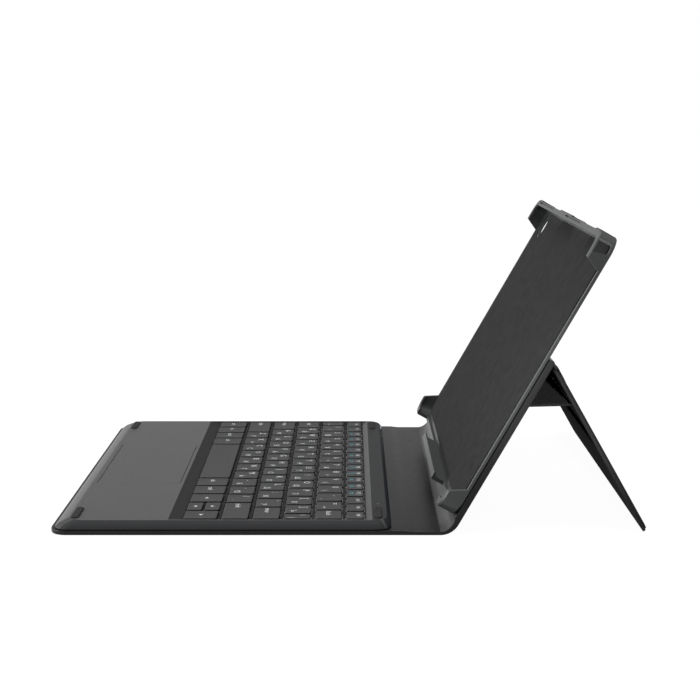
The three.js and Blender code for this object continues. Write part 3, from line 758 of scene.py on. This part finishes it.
def keyboard_case():
    """The case, and how many of its faces, from the first, are its outer walls."""
    skin = Skin()
    top = case_high.z
    rise = (top - case_low.z) / (WALL_PROFILE[-1][1] * MM)
    rings = [case_ring(share, case_low.z + z * MM * rise) for share, z in WALL_PROFILE]
    skin.wall(rings)
    wall_faces = len(skin.faces)
    holes = [skin.hole(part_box("touchpad"), 0.3 * MM, 3 * MM, top, top - 1.6 * MM, 0.22 * MM, 6)]
    for node in NODES:
        if node.startswith("bumper"):
            low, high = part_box(node)
            radius = (high.y - low.y) / 2 - 0.4 * MM
            holes.append(skin.hole((low, high), 0.12 * MM, radius, top, top - 0.5 * MM, 0.12 * MM))
    low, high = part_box("status_light")
    light_radius = (high.x - low.x) / 2
    holes.append(skin.hole((low, high), 0.05 * MM, light_radius, top, top - 0.6 * MM, 0.06 * MM))
    # The recess round the keys: sloping at the front and rear, upright at the sides.
    x = CASE["recess_x"]
    front, rear = CASE["recess_front"], CASE["recess_rear"]
    soft = 0.25 * MM
    section = [
        (front - soft * 2, top), (front - soft * 0.8, top - soft * 0.12),
        (front + soft, top - soft * 0.5), (front + CASE["ramp"], DECK),
        (rear - CASE["rear_ramp"], DECK), (rear - soft * 0.7, top - soft * 0.6),
        (rear + soft * 0.6, top - soft * 0.1), (rear + soft * 1.6, top),
    ]
    mouth = [(-x, section[0][0]), (x, section[0][0]), (x, section[-1][0]), (-x, section[-1][0])]
    holes.append([Vector((px, py, top)) for px, py in mouth])
    skin.face(rings[-1], holes)
    for side in (-x, x):
        skin.take([Vector((side, y, z)) for y, z in section], [tuple(range(len(section)))])
    for k, ((y0, z0), (y1, z1)) in enumerate(zip(section, section[1:])):
        if k == DECK_SPAN:
            continue
        skin.take(
            [Vector((-x, y0, z0)), Vector((x, y0, z0)), Vector((x, y1, z1)), Vector((-x, y1, z1))],
            [(0, 1, 2, 3)],
        )
    deck_holes = [
        skin.hole(box, KEY_CLEARANCE, 1.4 * MM, DECK, CASE["deck_under"], 0.12 * MM, 3)
        for boxes in key_boxes.values()
        for box in boxes
    ]
    y0, y1 = section[DECK_SPAN][0], section[DECK_SPAN + 1][0]
    skin.face([Vector((px, py, DECK)) for px, py in ((-x, y0), (x, y0), (x, y1), (-x, y1))], deck_holes)
    return even(new_object("keyboard_case", skin.verts, skin.faces, sharp=32)), wall_faces


case, wall_faces = keyboard_case()
dress(case, PAINT["case"], "keyboard", ("keyboard_top_case",))
# The case plastic and its darker copies, which are painted shade on the sides, corners, rear slope, rear strip,
# key bed and ramp.
CASE_PAINTS = [PAINT["case"], RAMP_SHADE, DEEP_SHADE, SIDE_SHADE, REAR_SLOPE_SHADE, REAR_STRIP_SHADE, CORNER_SHADE]
for material in CASE_PAINTS[1:]:
    case.data.materials.append(material)


def case_paint(polygon):
    """The paint of one face of the case, by where it is and how it faces; every paint but the case plastic is
    painted shade, a darker copy of it.
    """
    middle, normal = polygon.center, polygon.normal
    inside = (
        abs(middle.x) < CASE["recess_x"] and CASE["recess_front"] < middle.y < CASE["recess_rear"]
    )
    if polygon.index < wall_faces:
        if normal.y > abs(normal.x):
            return REAR_SLOPE_SHADE
        if abs(normal.x) > 1.5 * abs(normal.y):
            return SIDE_SHADE
        if abs(normal.x) > 0.4 * abs(normal.y):
            return CORNER_SHADE
    elif inside and middle.z < DECK + 0.02 * MM:
        return DEEP_SHADE
    elif inside and middle.y < CASE["recess_front"] + CASE["ramp"]:
        return RAMP_SHADE
    elif middle.y > CASE["recess_rear"] and normal.z > 0.9:
        return REAR_STRIP_SHADE
    return PAINT["case"]


for polygon in case.data.polygons:
    polygon.material_index = CASE_PAINTS.index(case_paint(polygon))
for node in NODES:
    if node.startswith("bumper"):
        dress(softened(node, 0.3 * MM, 3), PAINT["rubber"], "keyboard", (node,))
low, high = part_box("touchpad")
touchpad = slab("touchpad_plate", low.x, high.x, low.y, high.y, 2.7 * MM, low.z, high.z, 0.2 * MM)
dress(touchpad, PAINT["case"], "touchpad", ("touchpad",))


# ------------------------------------------------------------------ keycaps
CAP_SIDE = 0.10 * MM  # how far the skirt leans in
CAP_ROUND = 0.32 * MM
CAP_SHOULDER = 0.38 * MM


def cap_rings(low, high):
    """The rings of one keycap: an upright skirt, a round shoulder and a shallow dish."""
    top = high.z
    profile = [(0.0, low.z), (0.03 * MM, top - 1.2 * MM), (CAP_SIDE, top - CAP_SHOULDER)]
    for angle in quarter(4)[1:]:
        inset = CAP_SIDE + CAP_ROUND * (1 - math.cos(angle))
        profile.append((inset, top - CAP_SHOULDER * (1 - math.sin(angle))))
    profile += [(1.3 * MM, top - 0.03 * MM), (2.8 * MM, top - 0.10 * MM)]
    rings = []
    for inset, z in profile:
        radius = max(1.3 * MM - inset * 0.5, 0.5 * MM)
        rings.append(rounded(low.x + inset, high.x - inset, low.y + inset, high.y - inset, radius, z, 4))
    return rings


for node, boxes in key_boxes.items():
    skin = Skin()
    for low, high in boxes:
        skin.take(*bridge(cap_rings(low, high)))
    caps = new_object(f"{node}_caps", skin.verts, skin.faces, sharp=60)
    dress(caps, PAINT["key"], BODY[node], (node,))
    # Painted shade: the keycaps' sides get a darker copy of the key plastic.
    paint(caps, KEY_SIDE_SHADE, lambda p: p.normal.z < 0.5)

# ------------------------------------------------------------------ legends
# Each text is drawn flat, turned into a mesh and laid just above the keycap's dish.
LEGEND_LIFT = 0.012 * MM
DISH = 0.05 * MM  # depth of the dish under a letter
DISH_MIDDLE = 0.09 * MM
WORD_SIZE, FIRST_SIZE, SECOND_SIZE = 4.2 * MM, 5.4 * MM, 4.6 * MM
FUNCTION_SIZE, MARK_SIZE = 3.6 * MM, 5.2 * MM


def text_mesh(text, size):
    """Vertices and faces of a line of text about its own centre, at one size."""
    curve = bpy.data.curves.new("legend", "FONT")
    curve.body = text
    curve.size = size
    curve.align_x = "CENTER"
    curve.align_y = "CENTER"
    curve.resolution_u = 2
    holder = placed("legend", curve)
    mesh = bpy.data.meshes.new_from_object(holder.evaluated_get(bpy.context.evaluated_depsgraph_get()))
    verts = [v.co.copy() for v in mesh.vertices]
    faces = [tuple(p.vertices) for p in mesh.polygons]
    bpy.data.objects.remove(holder)
    bpy.data.curves.remove(curve)
    bpy.data.meshes.remove(mesh)
    return verts, faces


glyphs = {}


def put_text(skin, text, size, x, y, z):
    if (text, size) not in glyphs:
        glyphs[(text, size)] = text_mesh(text, size)
    verts, faces = glyphs[(text, size)]
    skin.take([v + Vector((x, y, z)) for v in verts], faces)


def put_shape(skin, points, x, y, z):
    skin.take([Vector((x + px * MM, y + py * MM, z)) for px, py in points], [tuple(range(len(points)))])


ARROWS = {
    "key_arrow_left": [(-1.3, 0), (0.9, -1.2), (0.9, 1.2)],
    "key_arrow_right": [(1.3, 0), (-0.9, 1.2), (-0.9, -1.2)],
    "key_arrow_up": [(0, 1.2), (-1.3, -0.9), (1.3, -0.9)],
    "key_arrow_down": [(0, -1.2), (1.3, 0.9), (-1.3, 0.9)],
}
WORDS = {
    "key_control": "ctrl", "key_function": "fn", "key_command": "cmd", "key_alt": "alt",
    "key_alt_right": "alt", "key_menu": "ctrl", "key_shift_left": "shift", "key_shift_right": "shift",
    "key_caps": "caps", "key_enter": "enter", "key_tab": "tab", "key_backspace": "back",
}
LETTERS = {
    "keys_lower_row": ("ZXCVBNM,./", "ЯЧСМИТЬБЮ."),
    "keys_home_row": ("ASDFGHJKL;'", "ФЫВАПРОЛДЖЭ"),
    "keys_upper_row": ("QWERTYUIOP[]", "ЙЦУКЕНГШЩЗХЪ"),
    "keys_number_row": ("1234567890-=", "!@#$%^&*()_+"),
    "key_backquote": ("`", "~"),
    "key_backslash": ("\\", "|"),
}
FUNCTION_WORDS = ["esc"] + [f"F{k}" for k in range(1, 13)] + ["prt", "ins", "del"]
FUNCTION_MARKS = "-+<>-+=[]<>="


def legends(node, boxes):
    white, teal = Skin(), Skin()
    for k, (low, high) in enumerate(boxes):
        x, y = (low.x + high.x) / 2, (low.y + high.y) / 2
        z = high.z - DISH + LEGEND_LIFT
        if node in ARROWS:
            put_shape(white, ARROWS[node], x, y, high.z - DISH_MIDDLE + LEGEND_LIFT)
        elif node in WORDS:
            put_text(white, WORDS[node], WORD_SIZE, low.x + 5.2 * MM, y, z)
        elif node in LETTERS:
            first, second = (row[k] for row in LETTERS[node])
            aside = min(3.4 * MM, (high.x - low.x) * 0.28)
            put_text(white, first, FIRST_SIZE, x - aside, y + 3.0 * MM, z)
            put_text(white, second, SECOND_SIZE, x + aside, y - 2.8 * MM, z)
        elif node == "keys_function_row":
            put_text(white, FUNCTION_WORDS[k], FUNCTION_SIZE, x, y + 1.9 * MM, z)
            if 1 <= k <= len(FUNCTION_MARKS):
                put_text(teal, FUNCTION_MARKS[k - 1], MARK_SIZE, x, y - 2.1 * MM, z)
    for skin, ink, kind in ((white, INK_WHITE, "white"), (teal, INK_TEAL, "teal")):
        if skin.verts:
            obj = new_object(f"{node}_legend_{kind}", skin.verts, skin.faces)
            dress(obj, ink, BODY[node])


for node, boxes in key_boxes.items():
    legends(node, boxes)

# ------------------------------------------------------------------ floor and light
# The floor glows white, so that the case throws no shadow on it.
FLOOR_REACH = 6
FLOOR_DROP = 0.02 * MM
corners = [(-1, -1), (1, -1), (1, 1), (-1, 1)]
floor_mesh = bpy.data.meshes.new("floor")
floor_mesh.from_pydata([(x * FLOOR_REACH, y * FLOOR_REACH, 0) for x, y in corners], [], [(0, 1, 2, 3)])
floor = placed("floor", floor_mesh)
floor.location.z = -FLOOR_DROP
floor_paint = principled("floor_white", (0.05, 0.05, 0.05), 0.9, specular=0.0)
floor_shader = floor_paint.node_tree.nodes["Principled BSDF"]
floor_shader.inputs["Emission Color"].default_value = (1, 1, 1, 1)
floor_shader.inputs["Emission Strength"].default_value = 0.97
floor_mesh.materials.append(floor_paint)

# White along the horizon and overhead, and dim between the two.
DIM = 0.13
world = bpy.data.worlds.new("studio")
bpy.context.scene.world = world
world.use_nodes = True
sky = world.node_tree
direction = sky.nodes.new("ShaderNodeSeparateXYZ")
sky.links.new(sky.nodes.new("ShaderNodeTexCoord").outputs["Generated"], direction.inputs["Vector"])


def glow(start, stop, low, high):
    """Light that goes from low to high between two heights of the sky."""
    node = sky.nodes.new("ShaderNodeMapRange")
    node.interpolation_type = "SMOOTHSTEP"
    node.inputs["From Min"].default_value = start
    node.inputs["From Max"].default_value = stop
    node.inputs["To Min"].default_value = low
    node.inputs["To Max"].default_value = high
    sky.links.new(direction.outputs["Z"], node.inputs["Value"])
    return node.outputs["Result"]


brighter = sky.nodes.new("ShaderNodeMath")
brighter.operation = "MAXIMUM"
sky.links.new(glow(0.14, 0.22, 1.0, DIM), brighter.inputs[0])
sky.links.new(glow(0.4, 0.95, DIM, 1.2), brighter.inputs[1])
background = sky.nodes["Background"]
background.inputs["Color"].default_value = (1.0, 1.0, 1.0, 1)
sky.links.new(brighter.outputs["Value"], background.inputs["Strength"])


def lamp(name, kind, location, target, power):
    """A lamp aimed at a point; returns its data."""
    data = bpy.data.lights.new(name, kind)
    data.energy = power
    obj = placed(name, data)
    obj.location = location
    obj.rotation_euler = (Vector(target) - Vector(location)).to_track_quat("-Z", "Y").to_euler()
    return data


for name, location, size, power in (
    ("key_light", (0.1, -1.7, 0.6), (1.4, 0.8), 48),
    ("top_light", (0.0, 0.1, 1.7), (1.2, 1.2), 34),
):
    soft_light = lamp(name, "AREA", location, (0, 0, 0.05), power)
    soft_light.shape = "RECTANGLE"
    soft_light.size, soft_light.size_y = size
# A narrow beam into the space between the stand and the panel, which is black without it.
in_tunnel = (HALF, (STAND_PIN.y + LINK_PIN.y) / 2, LINK_PIN.z)
beam = lamp("tunnel_light", "SPOT", (1.3, 0.01, 0.40), in_tunnel, 80)
beam.spot_size = math.radians(5)
beam.spot_blend = 0.6
beam.shadow_soft_size = 0.02
bpy.context.scene.view_settings.view_transform = "Standard"
